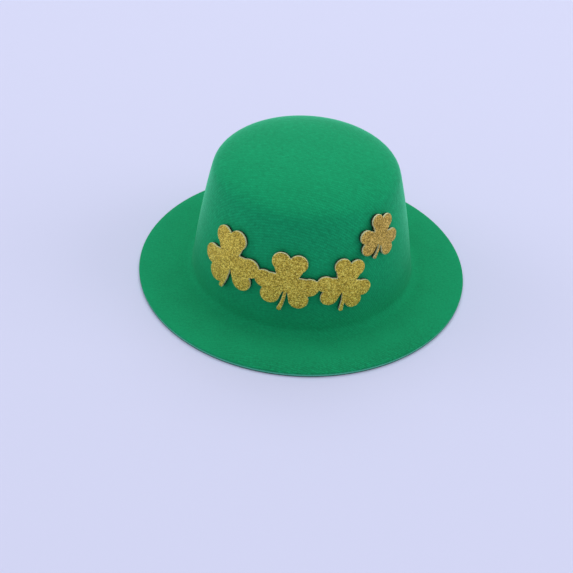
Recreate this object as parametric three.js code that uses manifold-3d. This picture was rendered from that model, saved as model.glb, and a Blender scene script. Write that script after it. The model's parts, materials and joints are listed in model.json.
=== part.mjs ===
import * as THREE from "three";
import { TessellateModifier } from "three/addons/modifiers/TessellateModifier.js";
import { mergeVertices } from "three/addons/utils/BufferGeometryUtils.js";
import Module from "manifold-3d";

// A mini dress-up hat with glitter cut-outs on its crown. Millimetres, +Z up.
// The brim rests on z = 0, the axis of the crown is Z and the front faces -Y.

// Hat shell: places on its outer line are [radius, height], handles pull the curves between them.
const WALL = 1.8; // thickness of the moulded sheet
const CROWN_TOP = [0, 60.5];
const SHOULDER = [38.6, 50]; // the domed top turns into the wall
const FOOT = [47.03, 5.2]; // the wall starts to flare out
const FLARE_END = [52, WALL]; // the flare has run out into the flat brim
const BRIM_EDGE = [70, WALL];
const DOME_HANDLES = [19.8, CROWN_TOP[1], 36.4, 58];
const WALL_HANDLES = [42.05, 36, 45, 21];
const FLARE_HANDLES = [47.4, 2.7, 49, WALL];
const RIM_EASE = 0.35; // rounding of the two corners of the brim's cut edge
const AROUND = 64; // steps round the crown
const DOME_STEPS = 10;
const DOME_CROWDING = 1.4; // crowds the dome's steps towards the shoulder
const WALL_STEPS = 6;
const FLARE_STEPS = 5;

// Leaves of a shamrock of size 1
const LOBE_R = 2.85; // radius of the two lobes of a leaf
const LOBE_OUT = 6.3; // distance of the lobes from the middle of the shamrock
const LOBE_SIDE = 2.6; // distance of a lobe from the axis of its leaf
const LOBE_TURN = 2.5; // angle from the leaf's axis at which a lobe meets its straight side
const NOTCH_R = 3.8; // distance of the notches between the leaves from the middle
const STEM_ROOT_R = 2.4; // distance of the stem's root from the middle
const STEM_WIDE = 0.85;
const STEM_END = 1.6; // width of the stem's round end over that of the stem
const STEM_BEND = 0.6; // share of the stem's drop at which it bends aside
const ARC_STEPS = 9;

// Glitter cut-outs: angles in degrees, distances down the crown are measured from its top.
const SHEET = 1.7; // thickness of the glitter sheet
const SEAT = 0.3; // distance between a cut-out and the crown
const LONGEST_EDGE = 4; // longest edge of a cut-out's facets, so that they follow the crown
const SPLITS = 8; // rounds of halving that reach that length
const LONE = { around: 54, down: 52.2, leaves: [72, 185, 318], stem: [-3.4, -7.6] };
const GARLAND_DOWN = 66.3;
const UPRIGHT = { leaves: [90, 210, 330], stem: [-1.6, -9.2] };
const ROW = [
  { size: 1.42, along: -23.2, up: 1.9, tilt: 7 },
  { size: 1.31, along: 1.6, up: 0.2, tilt: -5 },
  { size: 1.17, along: 24.2, up: -1.6, tilt: -16 },
];

// Hair clip
const CLIP_R = 43.35; // outer radius of the folded strip
const CLIP_STRIP = 0.9; // thickness of the strip
const CLIP_FOLD = 3.4; // width over both legs
const CLIP_LOW = 8; // height of its lower edge
const CLIP_TALL = 8; // width of the strip, which stands on edge
const CLIP_FROM = 60; // angles of the open end and of the fold
const CLIP_TO = 120;
const CLIP_SHORT = 7; // angle by which the inner leg stops short
const CLIP_STEPS = 14;

const solids = await Module();
solids.setup();

const turn = THREE.MathUtils.degToRad;

// Welds the vertices of a geometry and drops the facets that have closed up.
function welded(geometry) {
  const bare = new THREE.BufferGeometry();
  bare.setAttribute("position", geometry.getAttribute("position"));
  bare.setIndex(geometry.index);
  const whole = mergeVertices(bare, 1e-3);
  const kept = [];
  for (let i = 0; i < whole.index.count; i += 3) {
    const [a, b, c] = [0, 1, 2].map((k) => whole.index.getX(i + k));
    if (a !== b && b !== c && c !== a) kept.push(a, b, c);
  }
  whole.setIndex(kept);
  return whole;
}

function solidOf(geometry) {
  const whole = welded(geometry);
  const mesh = new solids.Mesh({
    numProp: 3,
    vertProperties: whole.attributes.position.array,
    triVerts: new Uint32Array(whole.index.array),
  });
  return new solids.Manifold(mesh);
}

function geometryOf(solid) {
  const mesh = solid.getMesh();
  const geometry = new THREE.BufferGeometry();
  geometry.setAttribute("position", new THREE.BufferAttribute(mesh.vertProperties, 3));
  geometry.setIndex(new THREE.BufferAttribute(mesh.triVerts, 1));
  return geometry;
}

// The outer line of the hat in radius and height: domed top, wall, flare and brim.
const outline = new THREE.Path();
outline.moveTo(...CROWN_TOP);
outline.bezierCurveTo(...DOME_HANDLES, ...SHOULDER);
outline.bezierCurveTo(...WALL_HANDLES, ...FOOT);
outline.bezierCurveTo(...FLARE_HANDLES, ...FLARE_END);
outline.lineTo(...BRIM_EDGE);

// A point of the hat's outer line, a distance from the top along it, moved outwards.
function onHat(distance, out) {
  const t = THREE.MathUtils.clamp(distance / outline.getLength(), 0, 1);
  const along = outline.getTangent(t);
  return outline.getPoint(t).add(new THREE.Vector2(-along.y, along.x).multiplyScalar(out));
}

// The shell is the outer line and the same line one wall further in, turned about the axis.
function hatShell() {
  const steps = [];
  const [domeEnd, wallEnd, flareEnd] = outline.getCurveLengths();
  for (let i = 0; i < DOME_STEPS; i++) {
    steps.push(domeEnd * (1 - (1 - i / DOME_STEPS) ** DOME_CROWDING));
  }
  for (let i = 0; i < WALL_STEPS; i++) {
    steps.push(domeEnd + ((wallEnd - domeEnd) * i) / WALL_STEPS);
  }
  for (let i = 0; i <= FLARE_STEPS; i++) {
    steps.push(wallEnd + ((flareEnd - wallEnd) * i) / FLARE_STEPS);
  }
  const inner = steps.map((distance) => onHat(distance, -WALL));
  const outer = steps.map((distance) => onHat(distance, 0)).reverse();
  inner[0].x = 0;
  outer[outer.length - 1].x = 0;
  const edge = BRIM_EDGE[0];
  const rim = [
    new THREE.Vector2(edge - RIM_EASE, 0),
    new THREE.Vector2(edge, RIM_EASE),
    new THREE.Vector2(edge, WALL - RIM_EASE),
    new THREE.Vector2(edge - RIM_EASE, WALL),
  ];
  const turned = new THREE.LatheGeometry([...inner, ...rim, ...outer], AROUND);
  return welded(turned).rotateX(Math.PI / 2);
}

// The outline of a shamrock: heart-shaped leaves, with the stem between the last two.
function shamrockShape(size, leaves, stem) {
  const shape = new THREE.Shape();
  const at = (r, angle) => [size * r * Math.cos(angle), size * r * Math.sin(angle)];
  const meet = Math.asin(LOBE_SIDE / LOBE_R);
  const axes = leaves.map(turn);
  axes.forEach((axis, i) => {
    for (const side of [-1, 1]) {
      const aside = Math.atan2(side * LOBE_SIDE, LOBE_OUT);
      const middle = at(Math.hypot(LOBE_OUT, LOBE_SIDE), axis + aside);
      const [from, to] = side < 0 ? [-LOBE_TURN, meet] : [-meet, LOBE_TURN];
      shape.absarc(...middle, size * LOBE_R, axis + from, axis + to, false);
    }
    const next = i + 1 < axes.length ? axes[i + 1] : axes[0] + 2 * Math.PI;
    const between = (axis + next) / 2;
    if (i === axes.length - 2) {
      const [rootX, rootY] = at(STEM_ROOT_R, between);
      const [endX, endY] = stem.map((v) => size * v);
      const half = (size * STEM_WIDE) / 2;
      const bend = endY * STEM_BEND;
      shape.lineTo(rootX - half, rootY);
      shape.quadraticCurveTo(rootX - half, bend, endX - STEM_END * half, endY);
      shape.absarc(endX, endY, STEM_END * half, Math.PI, 2 * Math.PI, false);
      shape.quadraticCurveTo(rootX + half, bend, rootX + half, rootY);
    } else {
      shape.lineTo(...at(NOTCH_R, between));
    }
  });
  shape.closePath();
  return shape;
}

function cutOut(shape) {
  const settings = { depth: SHEET, bevelEnabled: false, curveSegments: ARC_STEPS };
  return welded(new THREE.ExtrudeGeometry(shape, settings));
}

// Lays a flat cut-out on the crown: x runs round it, y up its wall and z out from it.
function laidOnCrown(flat, around, down) {
  const split = new TessellateModifier(LONGEST_EDGE, SPLITS).modify(flat.toNonIndexed());
  const place = split.getAttribute("position");
  const reach = onHat(down, 0).x;
  for (let i = 0; i < place.count; i++) {
    const angle = turn(around) + place.getX(i) / reach;
    const seat = onHat(down - place.getY(i), SEAT + place.getZ(i));
    place.setXYZ(i, seat.x * Math.sin(angle), -seat.x * Math.cos(angle), seat.y);
  }
  return welded(split);
}

function shamrock() {
  return laidOnCrown(cutOut(shamrockShape(1, LONE.leaves, LONE.stem)), LONE.around, LONE.down);
}

// Shamrocks in a row, cut in one piece, leaf running into leaf.
function garland() {
  const parts = ROW.map(({ size, along, up, tilt }) => {
    const leaves = UPRIGHT.leaves.map((angle) => angle + tilt);
    return solidOf(cutOut(shamrockShape(size, leaves, UPRIGHT.stem)).translate(along, up, 0));
  });
  const joined = parts.reduce((whole, part) => whole.add(part));
  return laidOnCrown(geometryOf(joined), 0, GARLAND_DOWN);
}

// A strip of spring steel folded in two, standing on edge along the inside of the crown's wall.
function hairClip() {
  const shape = new THREE.Shape();
  const inner = CLIP_R - CLIP_FOLD;
  const middle = CLIP_R - CLIP_FOLD / 2;
  const [from, to] = [turn(CLIP_FROM), turn(CLIP_TO)];
  const end = turn(CLIP_FROM + CLIP_SHORT);
  const fold = [middle * Math.cos(to), middle * Math.sin(to)];
  shape.absarc(0, 0, CLIP_R, from, to, false);
  shape.absarc(...fold, CLIP_FOLD / 2, to, to + Math.PI, false);
  shape.absarc(0, 0, inner, to, end, true);
  shape.absarc(0, 0, inner + CLIP_STRIP, end, to, false);
  shape.absarc(...fold, CLIP_FOLD / 2 - CLIP_STRIP, to + Math.PI, to, true);
  shape.absarc(0, 0, CLIP_R - CLIP_STRIP, to, from, true);
  shape.closePath();
  const settings = { depth: CLIP_TALL, bevelEnabled: false, curveSegments: CLIP_STEPS };
  return welded(new THREE.ExtrudeGeometry(shape, settings)).translate(0, 0, CLIP_LOW);
}

const knit = new THREE.MeshStandardMaterial({ name: "green_knit", color: 0x178a56, roughness: 0.9 });
const glitter = new THREE.MeshStandardMaterial({
  name: "gold_glitter",
  color: 0xb59a45,
  roughness: 0.45,
  metalness: 0.5,
});
const steel = new THREE.MeshStandardMaterial({
  name: "spring_steel",
  color: 0x9a9ca0,
  roughness: 0.35,
  metalness: 1,
});

const hat = new THREE.Group();
hat.name = "mini_hat";

function add(name, geometry, material) {
  const mesh = new THREE.Mesh(geometry, material);
  mesh.name = name;
  hat.add(mesh);
}

add("hat_shell", hatShell(), knit);
add("shamrock", shamrock(), glitter);
add("garland", garland(), glitter);
add("hair_clip", hairClip(), steel);

export default hat;
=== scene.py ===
import json
import math

import bpy
import numpy as np
from mathutils import Matrix, Vector

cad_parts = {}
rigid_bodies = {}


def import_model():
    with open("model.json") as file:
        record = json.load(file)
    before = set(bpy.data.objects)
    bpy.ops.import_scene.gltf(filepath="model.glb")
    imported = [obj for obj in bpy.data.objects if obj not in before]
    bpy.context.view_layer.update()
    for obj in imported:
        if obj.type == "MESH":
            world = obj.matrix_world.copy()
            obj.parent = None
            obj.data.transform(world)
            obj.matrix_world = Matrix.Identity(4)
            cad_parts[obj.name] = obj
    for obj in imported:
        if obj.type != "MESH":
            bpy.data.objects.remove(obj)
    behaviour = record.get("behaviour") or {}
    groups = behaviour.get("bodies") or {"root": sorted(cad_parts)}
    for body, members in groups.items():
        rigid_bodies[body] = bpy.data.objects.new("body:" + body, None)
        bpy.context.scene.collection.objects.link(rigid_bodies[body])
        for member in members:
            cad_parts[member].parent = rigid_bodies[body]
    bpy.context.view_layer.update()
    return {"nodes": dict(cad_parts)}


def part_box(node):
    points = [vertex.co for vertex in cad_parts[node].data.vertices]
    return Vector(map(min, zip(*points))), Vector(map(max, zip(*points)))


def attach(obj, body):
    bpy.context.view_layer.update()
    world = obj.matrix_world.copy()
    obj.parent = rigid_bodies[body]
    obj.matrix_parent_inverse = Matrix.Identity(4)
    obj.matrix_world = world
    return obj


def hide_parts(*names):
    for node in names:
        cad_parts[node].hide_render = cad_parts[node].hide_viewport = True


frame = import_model()


# Hat shell: crown and brim in one sheet, thin foam faced with brushed green knit cloth.
# The warm sheet is pressed over a mould, so the flat cloth stretches down the crown
# and out along the brim, and the brim is then cut round, which bares the foam at its edge.
shell_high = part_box("hat_shell")[1]
BRIM_RADIUS = shell_high.x
SHEET_THICK = 0.0018
BRIM_RISE = 0.0005  # height of the flat brim over its cut edge
ROLL_START = 0.064  # radius from which the brim curves down to that edge
RIM_ROUND = 0.0005  # rounding of the cloth over the cut edge
CROWN_LEAN = 0.00036  # shift of the crown's top to the left
CROWN_TILT = 0.0048  # slope of the crown's top, down to the right

# places (radius, height) on the hat's outer line, and handles that pull the curves between them
CROWN_TOP = (0.0, shell_high.z)
SHOULDER = (0.0386, 0.050)
FOOT = (0.04703, 0.0052)
FLARE_END = (0.0520, SHEET_THICK + BRIM_RISE)
DOME_PULLS = ((0.0198, CROWN_TOP[1]), (0.0364, 0.058))
WALL_PULLS = ((0.04205, 0.036), (0.045, 0.021))
FLARE_PULLS = ((0.0474, 0.0031), (0.0490, FLARE_END[1]))
TIP_RADIUS = 0.0006  # last ring before the top closes
AROUND = 128  # steps round the hat, and then from ring to ring
DOME_STEPS = 16
WALL_STEPS = 12
FLARE_STEPS = 7
BRIM_STEPS = 9

# stitches: columns (wales) and rows (courses), and the share of their relief that shows in each place
WALE = 0.0008
COURSE = 0.0007
STITCH_SWAY = 0.0007
CLOTH_TURN = math.radians(2)  # how far off straight the cloth lies on the mould
STITCH_ON_DOME = 0.45
STITCH_ON_SHOULDER = 0.75
STITCH_AT_FOOT = 0.4
STITCH_ON_BRIM = 0.2
DOME_SHARE = 0.7  # of the way to the shoulder: end of the dome's plain cloth
SHOULDER_SHARE = 1.1  # of that way: middle of the cloth that the mould stretches most

# stitches stand out more along the rim at the front right, and the cloth's colour there is darker as
# painted shade
RIM_STITCH_AND_SHADE = 0.6
RIM_SHADE_LEVEL = 0.5  # height of a stitch that keeps its tone
RIM_SHADE_SIDE = math.radians(28)  # from the front towards the right
RIM_SHADE_WIDTH = (0.65, 0.9)  # cosines of the angle to that side, where the mark starts and where it is full
RIM_SHADE_REACH = (0.92, 0.98)  # shares of the flat cloth's radius, where the mark starts and where it is full

# the nap, a pale sheen, from full (0) to pressed flat (1) by height on the crown and radius on the
# brim; the same shares darken the cloth's colour as painted shade in the corner between crown and brim
NAP_FULL = 1.0
NAP_FLAT = 0.18
NAP_STEPS = 7
NAP_AND_SHADE_BY_HEIGHT = (
    (0.0023, 0.3),
    (0.0045, 1.0),
    (0.012, 0.92),
    (0.018, 0.75),
    (0.023, 0.5),
    (0.028, 0.25),
    (0.033, 0.0),
)
NAP_AND_SHADE_BY_RADIUS = ((0.052, 0.3), (0.055, 0.0))
NAP_TINT = (0.23, 1.0, 0.62, 1)

# tone of the cloth between its two greens: what fuzz and mottling add to the stitches
TONE_START = 0.095
FUZZ_TONE = 0.6
MOTTLE_TONE = 0.2
PAINTED_CORNER_SHADE = 0.06  # painted shade: loss of tone in the corner where the nap is flat
KNIT_GREEN = (0.0078, 0.413, 0.165, 1)
KNIT_SHADE = (0.0039, 0.182, 0.07, 1)

FOAM_GREEN = (0.045, 0.42, 0.25, 1)
FOAM_PALE = (0.10, 0.52, 0.36, 1)
RIM_PAINTED_SHADOW = (0.008, 0.06, 0.045, 1)
RIM_SHADOW_TOP = (0.0003, 0.0006)  # heights between which the painted shadow at the bottom of the cut edge turns into foam


def pulled_curve(start, pulls, end, steps):
    """Points (radius, height) after start, along a curve that two handles pull."""
    points = []
    for i in range(1, steps + 1):
        t = i / steps
        weights = ((1 - t) ** 3, 3 * t * (1 - t) ** 2, 3 * t * t * (1 - t), t**3)
        places = (start, *pulls, end)
        points.append(tuple(sum(w * p[k] for w, p in zip(weights, places)) for k in (0, 1)))
    return points


def add_node(tree, kind, inputs=(), **settings):
    """A shader node with its settings, and its inputs given as values or as sockets to link."""
    node = tree.nodes.new(kind)
    for name, value in settings.items():
        setattr(node, name, value)
    for key, value in dict(inputs).items():
        if isinstance(value, bpy.types.NodeSocket):
            tree.links.new(value, node.inputs[key])
        else:
            node.inputs[key].default_value = value
    return node


def sums(tree, operation, *values):
    """The result of a Math node on values or sockets."""
    return add_node(tree, "ShaderNodeMath", dict(enumerate(values)), operation=operation).outputs[0]


def noise(tree, place, per_metre, detail):
    """Soft random values between 0 and 1, about so many to the metre."""
    inputs = {"Vector": place, "Scale": per_metre, "Detail": detail}
    return add_node(tree, "ShaderNodeTexNoise", inputs).outputs["Fac"]


def ramp(tree, value, *stops):
    """The colour that a value has on a ramp with stops (place, colour)."""
    node = add_node(tree, "ShaderNodeValToRGB", {"Fac": value})
    elements = node.color_ramp.elements
    elements.remove(elements[1])
    elements[0].position, elements[0].color = stops[0]
    for place, colour in stops[1:]:
        elements.new(place).color = colour
    return node.outputs["Color"]


def grey(value):
    return (value, value, value, 1)


def new_material(name):
    """An empty material's node tree, with a Principled BSDF joined to its output."""
    material = bpy.data.materials.new(name)
    material.use_nodes = True
    tree = material.node_tree
    tree.nodes.clear()
    shader = add_node(tree, "ShaderNodeBsdfPrincipled")
    add_node(tree, "ShaderNodeOutputMaterial", {"Surface": shader.outputs[0]})
    return material, tree, shader


def set_active(piece):
    bpy.ops.object.select_all(action="DESELECT")
    piece.select_set(True)
    bpy.context.view_layer.objects.active = piece


def apply_modifiers(piece):
    set_active(piece)
    for name in [modifier.name for modifier in piece.modifiers]:
        bpy.ops.object.modifier_apply(modifier=name)


# the outer line from the rim in to the top of the crown
flare = pulled_curve(FOOT, FLARE_PULLS, FLARE_END, FLARE_STEPS)
wall = pulled_curve(SHOULDER, WALL_PULLS, FOOT, WALL_STEPS)
dome = pulled_curve(CROWN_TOP, DOME_PULLS, SHOULDER, DOME_STEPS)
rings = []
for i in range(BRIM_STEPS, 0, -1):
    radius = FLARE_END[0] + (BRIM_RADIUS - FLARE_END[0]) * i / BRIM_STEPS
    past = max(0, radius - ROLL_START) / (BRIM_RADIUS - ROLL_START)
    rings.append((radius, FLARE_END[1] - BRIM_RISE * past**2))
rings += list(reversed(dome + wall + flare))
rings.append((TIP_RADIUS, CROWN_TOP[1]))

# the sheet starts as the rim's circle and is drawn in, ring by ring, to the top
bpy.ops.object.select_all(action="DESELECT")
bpy.ops.mesh.primitive_circle_add(vertices=AROUND, radius=BRIM_RADIUS, location=(0, 0, rings[0][1]))
hat = bpy.context.object
hat.name = "hat"
bpy.ops.object.transform_apply(location=True, rotation=True, scale=True)
bpy.ops.object.mode_set(mode="EDIT")
bpy.ops.mesh.select_all(action="SELECT")
for (radius, height), (next_radius, next_height) in zip(rings, rings[1:]):
    bpy.ops.mesh.extrude_edges_move(TRANSFORM_OT_translate={"value": (0, 0, next_height - height)})
    shrink = next_radius / radius
    bpy.ops.transform.resize(value=(shrink, shrink, 1), center_override=(0, 0, 0))
bpy.ops.mesh.merge(type="CENTER")
bpy.ops.mesh.select_all(action="SELECT")
bpy.ops.mesh.normals_make_consistent(inside=False)
bpy.ops.object.mode_set(mode="OBJECT")

# the flat cloth's own coordinates, in metres: its middle lies on the top of the crown
steps_in = [math.dist(a, b) for a, b in zip(rings, rings[1:])]
distances = np.cumsum([rings[-1][0]] + steps_in[::-1])
radii = [radius for radius, height in reversed(rings)]
CLOTH_SHARE = BRIM_RADIUS / distances[-1]
cloth = hat.data.uv_layers.new(name="cloth")
for loop in hat.data.loops:
    x, y, z = hat.data.vertices[loop.vertex_index].co
    reach = CLOTH_SHARE * np.interp(math.hypot(x, y), radii, distances)
    angle = math.atan2(y, x) + CLOTH_TURN
    cloth.data[loop.index].uv = (reach * math.cos(angle), reach * math.sin(angle))

# the soft crown leans a little to one side
for vertex in hat.data.vertices:
    share = max(0, (vertex.co.z - FOOT[1]) / (CROWN_TOP[1] - FOOT[1]))
    vertex.co.z -= CROWN_TILT * share * vertex.co.x
    vertex.co.x -= CROWN_LEAN * share

# rows of V-shaped stitches on the flat cloth, swaying a little and worn away in spots
knit_stitches = bpy.data.node_groups.new("knit_stitches", "ShaderNodeTree")
knit_stitches.interface.new_socket("Cloth", in_out="INPUT", socket_type="NodeSocketVector")
knit_stitches.interface.new_socket("Wale", in_out="INPUT", socket_type="NodeSocketFloat")
knit_stitches.interface.new_socket("Course", in_out="INPUT", socket_type="NodeSocketFloat")
knit_stitches.interface.new_socket("Height", in_out="OUTPUT", socket_type="NodeSocketFloat")
inside = add_node(knit_stitches, "NodeGroupInput")
flat = inside.outputs["Cloth"]
drift = add_node(knit_stitches, "ShaderNodeTexNoise", {"Vector": flat, "Scale": 220, "Detail": 1})
swayed = add_node(
    knit_stitches,
    "ShaderNodeVectorMath",
    {0: drift.outputs["Color"], 1: (STITCH_SWAY, STITCH_SWAY, 0), 2: flat},
    operation="MULTIPLY_ADD",
)
place = add_node(knit_stitches, "ShaderNodeSeparateXYZ", {0: swayed.outputs[0]})
across = sums(knit_stitches, "DIVIDE", place.outputs[0], inside.outputs["Wale"])
from_middle = sums(knit_stitches, "SUBTRACT", sums(knit_stitches, "FRACT", across), 0.5)
leg = sums(knit_stitches, "ABSOLUTE", from_middle)
along = sums(knit_stitches, "DIVIDE", place.outputs[1], inside.outputs["Course"])
row = sums(knit_stitches, "FRACT", sums(knit_stitches, "MULTIPLY_ADD", leg, 0.9, along))
ridge = sums(knit_stitches, "SINE", sums(knit_stitches, "MULTIPLY", row, math.pi))
hollow = sums(knit_stitches, "SINE", sums(knit_stitches, "MULTIPLY", leg, 2 * math.pi))
loops = sums(knit_stitches, "MULTIPLY", ridge, sums(knit_stitches, "MULTIPLY_ADD", hollow, 0.6, 0.4))
stretched = add_node(knit_stitches, "ShaderNodeMapping", {"Vector": flat, "Scale": (780, 1100, 1)})
shown = add_node(
    knit_stitches,
    "ShaderNodeMapRange",
    {
        "Value": noise(knit_stitches, stretched.outputs[0], 1, 2),
        "From Min": 0.3,
        "From Max": 0.7,
        "To Min": 0.1,
        "To Max": 1,
    },
)
seen_loops = sums(knit_stitches, "MULTIPLY", loops, shown.outputs[0])
add_node(knit_stitches, "NodeGroupOutput", {"Height": seen_loops})

# how far out these places lie on the flat cloth, as shares of its radius
to_shoulder = np.interp(SHOULDER[0], radii, distances) / distances[-1]
to_foot = np.interp(FOOT[0], radii, distances) / distances[-1]
to_brim = np.interp(FLARE_END[0], radii, distances) / distances[-1]


def knit_material(name, flatness_and_shade):
    """Brushed knit cloth: its nap shows as a pale sheen, less where the cloth is pressed flat, and
    there its colour is darkened as painted shade.
    """
    material, tree, shader = new_material(name)
    flat_cloth = add_node(tree, "ShaderNodeUVMap", uv_map="cloth").outputs[0]
    body = add_node(tree, "ShaderNodeTexCoord").outputs["Object"]
    stitch = add_node(
        tree,
        "ShaderNodeGroup",
        {"Cloth": flat_cloth, "Wale": WALE, "Course": COURSE},
        node_tree=knit_stitches,
    ).outputs["Height"]
    fuzz = noise(tree, body, 1400, 3)
    mottle = noise(tree, body, 90, 2)
    reach = add_node(tree, "ShaderNodeVectorMath", {0: flat_cloth}, operation="LENGTH").outputs["Value"]
    spread = sums(tree, "DIVIDE", reach, BRIM_RADIUS)
    relief_share = ramp(
        tree,
        spread,
        (to_shoulder * DOME_SHARE, grey(STITCH_ON_DOME)),
        (to_shoulder * SHOULDER_SHARE, grey(STITCH_ON_SHOULDER)),
        (to_foot, grey(STITCH_AT_FOOT)),
        (to_brim, grey(STITCH_ON_BRIM)),
    )
    rim_shade_direction = (math.sin(RIM_SHADE_SIDE), -math.cos(RIM_SHADE_SIDE), 0)
    toward_side = add_node(
        tree, "ShaderNodeVectorMath", {0: flat_cloth, 1: rim_shade_direction}, operation="DOT_PRODUCT"
    ).outputs["Value"]
    cosine = sums(tree, "DIVIDE", toward_side, reach)
    on_side = ramp(tree, cosine, (RIM_SHADE_WIDTH[0], grey(0)), (RIM_SHADE_WIDTH[1], grey(RIM_STITCH_AND_SHADE)))
    near_rim = ramp(tree, spread, (RIM_SHADE_REACH[0], grey(0)), (RIM_SHADE_REACH[1], grey(1)))
    # stitch marks and painted shade along the rim at the front right: stitches below their level darken
    # the cloth
    rim_shade_share = sums(tree, "MULTIPLY", on_side, near_rim)
    rim_stitch_and_shade = sums(tree, "MULTIPLY", sums(tree, "SUBTRACT", stitch, RIM_SHADE_LEVEL), rim_shade_share)
    seen_stitch = sums(tree, "MULTIPLY_ADD", stitch, relief_share, rim_stitch_and_shade)
    # painted shade: the tone drops in the corner between crown and brim
    fuzzy = sums(tree, "MULTIPLY_ADD", fuzz, FUZZ_TONE, TONE_START - PAINTED_CORNER_SHADE * flatness_and_shade)
    tone = sums(tree, "MULTIPLY_ADD", mottle, MOTTLE_TONE, sums(tree, "ADD", seen_stitch, fuzzy))
    cloth_colour = ramp(tree, tone, (0.1, KNIT_SHADE), (1.0, KNIT_GREEN))
    pile = sums(tree, "MULTIPLY_ADD", fuzz, 0.8, stitch)
    relief = add_node(tree, "ShaderNodeBump", {"Height": pile, "Strength": 0.4, "Distance": 0.00015})
    tree.links.new(cloth_colour, shader.inputs["Base Color"])
    tree.links.new(relief.outputs[0], shader.inputs["Normal"])
    shader.inputs["Roughness"].default_value = 0.9
    shader.inputs["Specular IOR Level"].default_value = 0.1
    shader.inputs["Sheen Weight"].default_value = NAP_FULL + (NAP_FLAT - NAP_FULL) * flatness_and_shade
    shader.inputs["Sheen Roughness"].default_value = 0.3
    shader.inputs["Sheen Tint"].default_value = NAP_TINT
    return material


# the bare foam of the cut, with a dark band along its bottom that is painted contact shadow
foam_edge, tree, shader = new_material("cut_foam_edge")
body = add_node(tree, "ShaderNodeTexCoord").outputs["Object"]
cells = noise(tree, body, 2200, 2)
foam_colour = ramp(tree, cells, (0.3, FOAM_GREEN), (0.7, FOAM_PALE))
height = add_node(tree, "ShaderNodeSeparateXYZ", {0: body}).outputs[2]
foam_share = add_node(
    tree,
    "ShaderNodeMapRange",
    {"Value": height, "From Min": RIM_SHADOW_TOP[0], "From Max": RIM_SHADOW_TOP[1]},
).outputs[0]
# painted shadow: the cut edge is dark at the bottom, where it meets the table
edge_colour = add_node(
    tree, "ShaderNodeMix", {0: foam_share, 6: RIM_PAINTED_SHADOW, 7: foam_colour}, data_type="RGBA"
).outputs[2]
relief = add_node(tree, "ShaderNodeBump", {"Height": cells, "Strength": 0.4, "Distance": 0.0001})
tree.links.new(edge_colour, shader.inputs["Base Color"])
tree.links.new(relief.outputs[0], shader.inputs["Normal"])
shader.inputs["Roughness"].default_value = 0.85

# the nap is full on the crown and the brim, and pressed flat in the corner between them, where the
# cloth's colour also carries painted shade
hat.data.materials.append(knit_material("green_knit_cloth", 0))
hat.data.materials.append(foam_edge)
for step in range(1, NAP_STEPS):
    hat.data.materials.append(knit_material(f"pressed_shaded_knit_{step}", step / (NAP_STEPS - 1)))
for polygon in hat.data.polygons:
    x, y, z = polygon.center
    if math.hypot(x, y) < FLARE_END[0]:
        flatness_and_shade = np.interp(z, *zip(*NAP_AND_SHADE_BY_HEIGHT))
    else:
        flatness_and_shade = np.interp(math.hypot(x, y), *zip(*NAP_AND_SHADE_BY_RADIUS))
    step = round(flatness_and_shade * (NAP_STEPS - 1))
    polygon.material_index = step + 1 if step else 0
sheet = hat.modifiers.new("sheet", "SOLIDIFY")
sheet.thickness = SHEET_THICK
sheet.offset = -1
sheet.material_offset_rim = 1
sheet.edge_crease_outer = 1
sheet.edge_crease_inner = 1
rounding = hat.modifiers.new("rounding", "SUBSURF")
rounding.levels = 1
rounding.render_levels = 1
apply_modifiers(hat)

# the upper edge of the cut, which the cloth rounds over
bpy.ops.object.mode_set(mode="EDIT")
bpy.ops.mesh.select_mode(type="EDGE")
bpy.ops.mesh.select_all(action="DESELECT")
bpy.ops.object.mode_set(mode="OBJECT")
on_rim = [
    math.hypot(vertex.co.x, vertex.co.y) > BRIM_RADIUS - RIM_ROUND
    and vertex.co.z > SHEET_THICK - RIM_ROUND / 2
    for vertex in hat.data.vertices
]
for edge in hat.data.edges:
    edge.select = all(on_rim[i] for i in edge.vertices)
bpy.ops.object.mode_set(mode="EDIT")
bpy.ops.mesh.bevel(offset=RIM_ROUND, segments=3, affect="EDGES", material=0)
bpy.ops.object.mode_set(mode="OBJECT")
bpy.ops.object.shade_smooth_by_angle(angle=math.radians(50))
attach(hat, "root")
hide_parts("hat_shell")


# Hair clip: a strip of spring steel folded in two, standing on edge along the inside of the
# crown's wall at the back. Its outer leg is glued to the wall, and its edges are rolled smooth.
EDGE_ROLL = 0.0002
STEEL_GREY = (0.42, 0.43, 0.45, 1)
BRUSH_MARKS = (150, 150, 6000)  # per metre: long round the crown, fine across the strip


def copy_of_node(name, node_name):
    """A new object with a copy of a CAD node's mesh, its loose triangles merged."""
    piece = bpy.data.objects.new(name, frame["nodes"][node_name].data.copy())
    bpy.context.collection.objects.link(piece)
    piece.data.materials.clear()
    set_active(piece)
    bpy.ops.object.mode_set(mode="EDIT")
    bpy.ops.mesh.select_all(action="SELECT")
    bpy.ops.mesh.remove_doubles(threshold=0.000002)
    bpy.ops.object.mode_set(mode="OBJECT")
    return piece


clip = copy_of_node("clip", "hair_clip")
bpy.ops.object.mode_set(mode="EDIT")
bpy.ops.mesh.select_all(action="SELECT")
bpy.ops.mesh.dissolve_limited(angle_limit=math.radians(1))
bpy.ops.object.mode_set(mode="OBJECT")
roll = clip.modifiers.new("rolled_edges", "BEVEL")
roll.width = EDGE_ROLL
roll.segments = 2
roll.angle_limit = math.radians(50)
apply_modifiers(clip)
bpy.ops.object.shade_smooth_by_angle(angle=math.radians(40))

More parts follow.
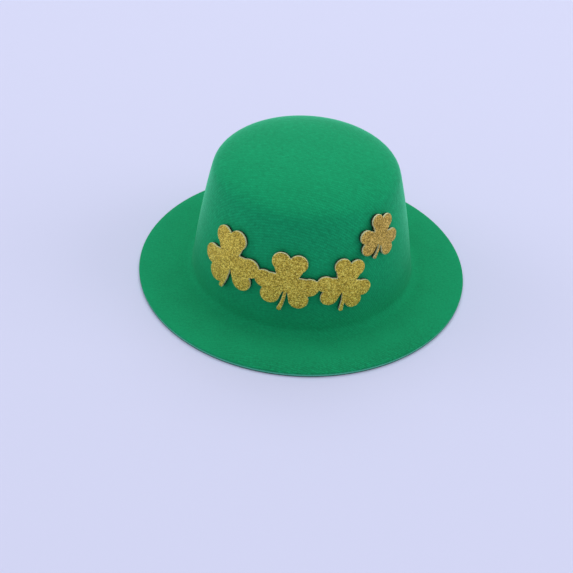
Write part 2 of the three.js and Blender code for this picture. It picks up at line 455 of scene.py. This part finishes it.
steel, tree, shader = new_material("brushed_spring_steel")
body = add_node(tree, "ShaderNodeTexCoord").outputs["Object"]
lengthwise = add_node(tree, "ShaderNodeMapping", {"Vector": body, "Scale": BRUSH_MARKS}).outputs[0]
strokes = noise(tree, lengthwise, 1, 3)
gloss = sums(tree, "MULTIPLY_ADD", strokes, 0.25, 0.22)
relief = add_node(tree, "ShaderNodeBump", {"Height": strokes, "Strength": 0.15, "Distance": 0.00005})
tree.links.new(gloss, shader.inputs["Roughness"])
tree.links.new(relief.outputs[0], shader.inputs["Normal"])
shader.inputs["Base Color"].default_value = STEEL_GREY
shader.inputs["Metallic"].default_value = 1.0
clip.data.materials.append(steel)
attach(clip, "root")
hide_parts("hair_clip")


# Glitter cut-outs: a lone shamrock and a row of joined ones, die-cut from soft sheet and glued to
# the crown. The sheet is faced with gold glitter grains, and the cut bares its cream core. The lower
# part of the cut edge is painted dark as shadow.
GRAIN = 0.00021
GRAIN_LIFT = 0.00006  # how far grains stand out of line
GRAINS_PER_METRE = 2800
WALL_LEAN = 0.25  # rise of a line that leads straight off the crown's wall
FACE_SHARE = 0.6  # faces that look off the wall by more than this share carry glitter
CORE_FROM = 0.0012  # height over the crown below which the cut edge is painted dark as shadow, above it the core
ROW_GOLD = ((0.265, 0.19, 0.029, 1), (0.65, 0.465, 0.057, 1), (1.0, 0.855, 0.182, 1))
LONE_GOLD = ((0.227, 0.148, 0.029, 1), (0.518, 0.35, 0.0645, 1), (0.907, 0.658, 0.177, 1))
CORE_CREAM = (0.79, 0.80, 0.50, 1)
CORE_SHADE = (0.60, 0.58, 0.30, 1)
# painted shadow on the lower part of the cut edge, next to the crown
EDGE_SHADOW_DARK = (0.004, 0.014, 0.004, 1)
EDGE_SHADOW_LIGHT = (0.01, 0.03, 0.01, 1)

glitter_grains = bpy.data.node_groups.new("glitter_grains", "ShaderNodeTree")
glitter_grains.interface.new_socket("Place", in_out="INPUT", socket_type="NodeSocketVector")
glitter_grains.interface.new_socket("Grains per metre", in_out="INPUT", socket_type="NodeSocketFloat")
glitter_grains.interface.new_socket("Tone", in_out="OUTPUT", socket_type="NodeSocketFloat")
glitter_grains.interface.new_socket("Gloss", in_out="OUTPUT", socket_type="NodeSocketFloat")
inside = add_node(glitter_grains, "NodeGroupInput")
grains = add_node(
    glitter_grains,
    "ShaderNodeTexVoronoi",
    {"Vector": inside.outputs["Place"], "Scale": inside.outputs["Grains per metre"]},
)
draws = add_node(glitter_grains, "ShaderNodeSeparateColor", {0: grains.outputs["Color"]})
add_node(glitter_grains, "NodeGroupOutput", {"Tone": draws.outputs[0], "Gloss": draws.outputs[1]})


def glitter_material(name, dark, middle, bright):
    """Gold grains, each with a tone of its own between dark and bright."""
    material, tree, shader = new_material(name)
    body = add_node(tree, "ShaderNodeTexCoord").outputs["Object"]
    grains = add_node(
        tree,
        "ShaderNodeGroup",
        {"Place": body, "Grains per metre": GRAINS_PER_METRE},
        node_tree=glitter_grains,
    )
    colour = ramp(tree, grains.outputs["Tone"], (0, dark), (0.5, middle), (1, bright))
    tree.links.new(colour, shader.inputs["Base Color"])
    gloss = sums(tree, "MULTIPLY_ADD", grains.outputs["Gloss"], 0.3, 0.3)
    tree.links.new(gloss, shader.inputs["Roughness"])
    shader.inputs["Metallic"].default_value = 0.9
    return material


def soft_sheet_material(name, shade, light, per_metre, roughness):
    """A dull layer of the sheet, mottled between two colours."""
    material, tree, shader = new_material(name)
    body = add_node(tree, "ShaderNodeTexCoord").outputs["Object"]
    colour = ramp(tree, noise(tree, body, per_metre, 2), (0.3, shade), (0.7, light))
    tree.links.new(colour, shader.inputs["Base Color"])
    shader.inputs["Roughness"].default_value = roughness
    return material


core = soft_sheet_material("cream_core", CORE_SHADE, CORE_CREAM, 2500, 0.8)
edge_shadow = soft_sheet_material("painted_edge_shadow", EDGE_SHADOW_DARK, EDGE_SHADOW_LIGHT, 900, 0.9)
outer_line = np.array(rings)


def off_wall(point):
    """The direction that leads straight off the crown's wall at a point."""
    return Vector((point.x, point.y, WALL_LEAN * math.hypot(point.x, point.y))).normalized()


def height_over_hat(point):
    """How far a point stands off the outer line of the hat."""
    spot = np.array((math.hypot(point.x, point.y), point.z))
    steps = np.diff(outer_line, axis=0)
    share = ((spot - outer_line[:-1]) * steps).sum(axis=1) / (steps**2).sum(axis=1)
    nearest = outer_line[:-1] + np.clip(share, 0, 1)[:, None] * steps
    return np.linalg.norm(nearest - spot, axis=1).min()


def drop_bubbles(piece):
    """Deletes what isn't joined to the lowest vertex: specks that a remesh leaves inside a sheet."""
    bpy.ops.object.mode_set(mode="EDIT")
    bpy.ops.mesh.select_mode(type="VERT")
    bpy.ops.mesh.select_all(action="DESELECT")
    bpy.ops.object.mode_set(mode="OBJECT")
    min(piece.data.vertices, key=lambda vertex: vertex.co.z).select = True
    bpy.ops.object.mode_set(mode="EDIT")
    bpy.ops.mesh.select_linked()
    bpy.ops.mesh.select_all(action="INVERT")
    bpy.ops.mesh.delete(type="VERT")
    bpy.ops.object.mode_set(mode="OBJECT")


def glitter_cut_out(name, node_name, face, seed):
    """The node's shape with grains all over: gold on its face, a cream core, and painted shadow on the
    lower cut edge.
    """
    piece = copy_of_node(name, node_name)
    grain = piece.modifiers.new("grain", "REMESH")
    grain.mode = "VOXEL"
    grain.voxel_size = GRAIN
    soft = piece.modifiers.new("soft", "SMOOTH")
    soft.factor = 0.5
    soft.iterations = 1
    apply_modifiers(piece)
    drop_bubbles(piece)
    piece.data.materials.append(face)
    piece.data.materials.append(core)
    piece.data.materials.append(edge_shadow)
    # faces looking off the wall carry glitter; the cut edge is cream core above, painted shadow below
    for polygon in piece.data.polygons:
        if polygon.normal.dot(off_wall(polygon.center)) > FACE_SHARE:
            polygon.material_index = 0
        elif height_over_hat(polygon.center) > CORE_FROM:
            polygon.material_index = 1
        else:
            polygon.material_index = 2
    bpy.ops.object.mode_set(mode="EDIT")
    bpy.ops.mesh.select_all(action="SELECT")
    bpy.ops.transform.vertex_random(offset=GRAIN_LIFT, uniform=0, normal=0.5, seed=seed)
    bpy.ops.object.mode_set(mode="OBJECT")
    bpy.ops.object.shade_flat()
    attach(piece, "root")
    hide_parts(node_name)


glitter_cut_out("glitter_row", "garland", glitter_material("row_gold", *ROW_GOLD), 3)
glitter_cut_out("glitter_shamrock", "shamrock", glitter_material("lone_gold", *LONE_GOLD), 5)


# Studio: the hat lies on a plain pale lavender table top. A wide soft light hangs behind and above
# it, a smaller one stands at each side, and the room's walls and brighter ceiling fill the shadows.
TABLE_SIDE = 40
TABLE_LAVENDER = (0.67, 0.683, 0.88, 1)
ROOM_WHITE = (0.9, 0.92, 1, 1)
WALLS_LIGHT = 0.41
CEILING_GAIN = 0.41
bpy.ops.object.select_all(action="DESELECT")
bpy.ops.mesh.primitive_plane_add(size=TABLE_SIDE)
table_top = bpy.context.object
table_top.name = "table_top"
laminate, tree, shader = new_material("lavender_table")
shader.inputs["Base Color"].default_value = TABLE_LAVENDER
shader.inputs["Roughness"].default_value = 0.7
table_top.data.materials.append(laminate)


def soft_light(name, place, side, watts):
    """A square white light of that side, aimed at the crown."""
    bpy.ops.object.light_add(type="AREA", location=place)
    lamp = bpy.context.object
    lamp.name = name
    lamp.data.size = side
    lamp.data.energy = watts
    lamp.rotation_mode = "QUATERNION"
    aim = Vector((0, 0, CROWN_TOP[1] / 2)) - Vector(place)
    lamp.rotation_quaternion = aim.to_track_quat("-Z", "Y")


soft_light("behind_above", place=(0, 0.8, 1.45), side=1.4, watts=8.8)
soft_light("left_side", place=(-1.4, 0, 0.6), side=1.0, watts=4.3)
soft_light("right_side", place=(1.4, 0.1, 0.8), side=1.0, watts=4.6)
world = bpy.data.worlds.new("room")
world.use_nodes = True
room = world.node_tree
direction = add_node(room, "ShaderNodeTexCoord").outputs["Generated"]
rise = add_node(room, "ShaderNodeSeparateXYZ", {0: direction}).outputs[2]
brightness = sums(room, "MULTIPLY_ADD", sums(room, "MAXIMUM", rise, 0), CEILING_GAIN, WALLS_LIGHT)
room.nodes["Background"].inputs["Color"].default_value = ROOM_WHITE
room.links.new(brightness, room.nodes["Background"].inputs["Strength"])
bpy.context.scene.world = world
bpy.context.scene.view_settings.view_transform = "Standard"

# the camera stands in front, a little to the right, and looks down on the hat
PHOTO_SIDE = 573
FOCAL_PIXELS = 1127.2
HAT_PIXEL = (301.55, 266.0)  # where the middle of the brim's underside lies in the photo
SENSOR_WIDTH = 36
DISTANCE = 0.49
ELEVATION = math.radians(37.78)
AZIMUTH = math.radians(9.0)
ROLL = math.radians(3.55)
back = Vector(
    (
        math.sin(AZIMUTH) * math.cos(ELEVATION),
        -math.cos(AZIMUTH) * math.cos(ELEVATION),
        math.sin(ELEVATION),
    )
)
level = Vector((math.cos(AZIMUTH), math.sin(AZIMUTH), 0))
upward = back.cross(level)
right = math.cos(ROLL) * level + math.sin(ROLL) * upward
up = math.cos(ROLL) * upward - math.sin(ROLL) * level
aim = Matrix((right, up, back)).transposed().to_4x4()
bpy.ops.object.camera_add()
camera = bpy.context.object
camera.matrix_world = Matrix.Translation(DISTANCE * back) @ aim
camera.data.sensor_fit = "HORIZONTAL"
camera.data.sensor_width = SENSOR_WIDTH
camera.data.lens = FOCAL_PIXELS / PHOTO_SIDE * SENSOR_WIDTH
camera.data.shift_x = (PHOTO_SIDE / 2 - HAT_PIXEL[0]) / PHOTO_SIDE
camera.data.shift_y = (HAT_PIXEL[1] - PHOTO_SIDE / 2) / PHOTO_SIDE
bpy.context.scene.camera = camera
